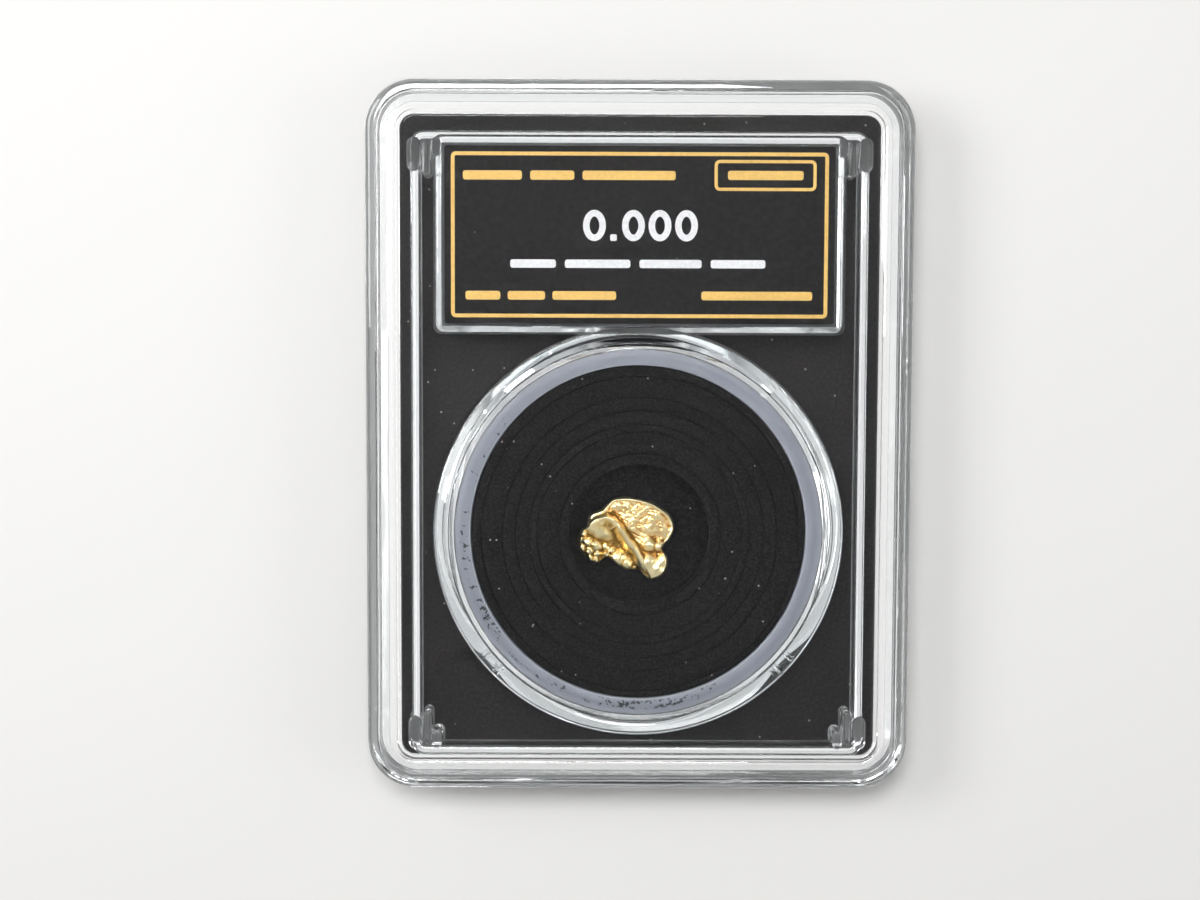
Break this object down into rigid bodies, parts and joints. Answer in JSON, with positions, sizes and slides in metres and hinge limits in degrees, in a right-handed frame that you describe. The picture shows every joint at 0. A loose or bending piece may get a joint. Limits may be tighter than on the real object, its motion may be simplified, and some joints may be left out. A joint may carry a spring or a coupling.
{
  "type": "gold nugget in a clear display holder",
  "caption": "Natural gold nugget on black foam, sealed behind the window of a flat, clear plastic display holder with a label pocket above a round well.",
  "frame": {"origin": "middle of the plane that the foot rim on the back rests on", "axes": "+Z out of the window, +Y along the holder to its label end, +X to the right as the window is read"},
  "size_m": [0.066, 0.086, 0.0085],
  "materials": {
    "clear_plastic": "polished clear acrylic",
    "black_card": "smooth matte black",
    "printed_label": "satin black with gold and white print",
    "soft_ring": "translucent blue-grey silicone",
    "black_foam": "matte black closed-cell foam",
    "native_gold": "natural gold, burnished on its high places"
  },
  "bodies": {
    "root": {"back_shell": "clear_plastic", "front_shell": "clear_plastic", "backing_card": "black_card", "border_card": "black_card", "label_card": "printed_label", "gasket_ring": "soft_ring", "foam_floor": "black_foam", "foam_ring_1": "black_foam", "foam_ring_2": "black_foam", "foam_ring_3": "black_foam", "foam_ring_4": "black_foam", "foam_ring_5": "black_foam", "foam_ring_6": "black_foam", "foam_ring_7": "black_foam", "gold_nugget": "native_gold"}
  },
  "joints": []
}
